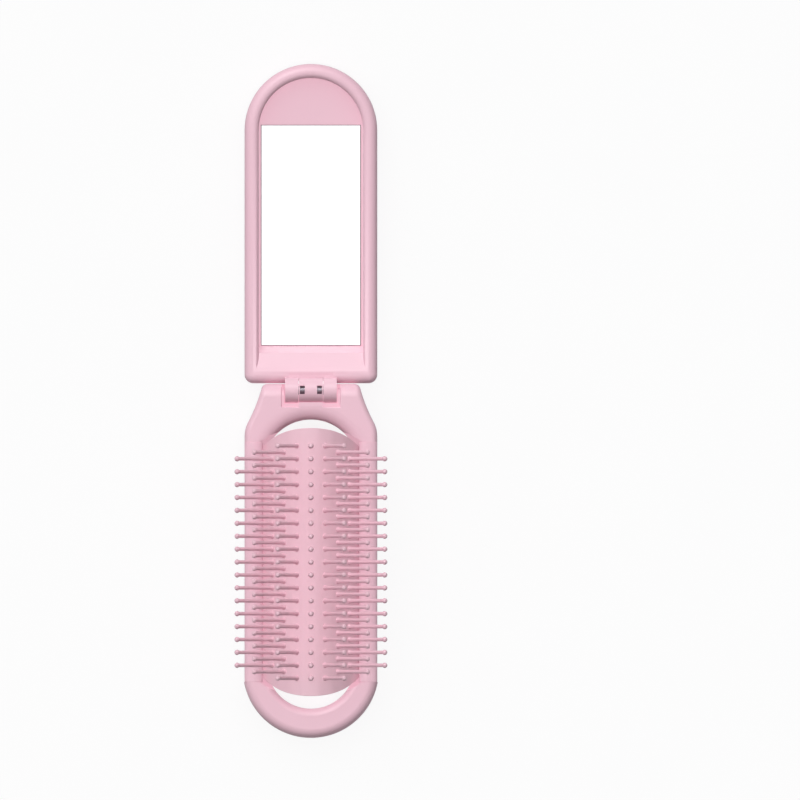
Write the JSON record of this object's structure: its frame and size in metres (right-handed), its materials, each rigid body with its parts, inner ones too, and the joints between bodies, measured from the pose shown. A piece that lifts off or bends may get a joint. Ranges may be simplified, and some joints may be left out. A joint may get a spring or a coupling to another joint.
{
  "type": "folding hairbrush with mirror",
  "caption": "Pocket hairbrush: a hinged mirror cover folds over a snap-through bristle pad held in a frame with a hand loop.",
  "frame": {"origin": "middle of the footprint of the open brush, on the surface it lies on", "axes": "+Y from the hand loop to the cover's tip, +Z to the bristle and mirror side, +X to the right seen from the bristle side with the cover up"},
  "size_m": [0.042, 0.1854, 0.0325],
  "materials": {
    "cover_plastic": "satin gloss moulded",
    "frame_plastic": "satin gloss moulded",
    "pad_plastic": "soft flexible moulded",
    "mirror_plate": "polished",
    "tape": "foam tape",
    "pin_steel": "drawn"
  },
  "bodies": {
    "frame": {"yoke": "frame_plastic", "rail_left": "frame_plastic", "rail_right": "frame_plastic", "end_loop": "frame_plastic", "hinge_pin": "pin_steel"},
    "cover": {"cover_shell": "cover_plastic", "mirror": "mirror_plate", "mirror_tape": "tape"},
    "pad_centre": {"pad_strip_centre": "pad_plastic"},
    "pad_left_1": {"pad_strip_left_1": "pad_plastic"},
    "pad_left_2": {"pad_strip_left_2": "pad_plastic"},
    "pad_left_3": {"pad_strip_left_3": "pad_plastic"},
    "pad_right_1": {"pad_strip_right_1": "pad_plastic"},
    "pad_right_2": {"pad_strip_right_2": "pad_plastic"},
    "pad_right_3": {"pad_strip_right_3": "pad_plastic"}
  },
  "joints": [
    {"name": "cover_fold", "type": "hinge", "parent": "frame", "child": "cover", "pos_m": [0, 0.00292, 0.01065], "axis": [1, 0, 0], "range_deg": [0, 180]},
    {"name": "pad_snap", "type": "slide", "parent": "frame", "child": "pad_centre", "axis": [0, 0, 1], "range_m": [-0.01621, 0]},
    {"name": "pad_flex_left_1", "type": "hinge", "parent": "pad_centre", "child": "pad_left_1", "pos_m": [-0.00205, -0.0443, 0.0186], "axis": [0, -1, 0], "range_deg": [-30.61, 0]},
    {"name": "pad_flex_left_2", "type": "hinge", "parent": "pad_left_1", "child": "pad_left_2", "pos_m": [-0.00584, -0.0443, 0.01702], "axis": [0, -1, 0], "range_deg": [-20.71, 0]},
    {"name": "pad_flex_left_3", "type": "hinge", "parent": "pad_left_2", "child": "pad_left_3", "pos_m": [-0.0091, -0.0443, 0.01454], "axis": [0, -1, 0], "range_deg": [-27.41, 0]},
    {"name": "pad_flex_right_1", "type": "hinge", "parent": "pad_centre", "child": "pad_right_1", "pos_m": [0.00205, -0.0443, 0.0186], "axis": [0, 1, 0], "range_deg": [-30.61, 0]},
    {"name": "pad_flex_right_2", "type": "hinge", "parent": "pad_right_1", "child": "pad_right_2", "pos_m": [0.00584, -0.0443, 0.01702], "axis": [0, 1, 0], "range_deg": [-20.71, 0]},
    {"name": "pad_flex_right_3", "type": "hinge", "parent": "pad_right_2", "child": "pad_right_3", "pos_m": [0.0091, -0.0443, 0.01454], "axis": [0, 1, 0], "range_deg": [-27.41, 0]}
  ],
  "couplings": [
    {"joint": "pad_snap", "follows": "cover_fold", "m_per_rad": -0.0051566},
    {"joint": "pad_flex_left_1", "follows": "cover_fold", "ratio": -0.17},
    {"joint": "pad_flex_left_2", "follows": "cover_fold", "ratio": -0.115},
    {"joint": "pad_flex_left_3", "follows": "cover_fold", "ratio": -0.15222},
    {"joint": "pad_flex_right_1", "follows": "cover_fold", "ratio": -0.17},
    {"joint": "pad_flex_right_2", "follows": "cover_fold", "ratio": -0.115},
    {"joint": "pad_flex_right_3", "follows": "cover_fold", "ratio": -0.15222}
  ]
}
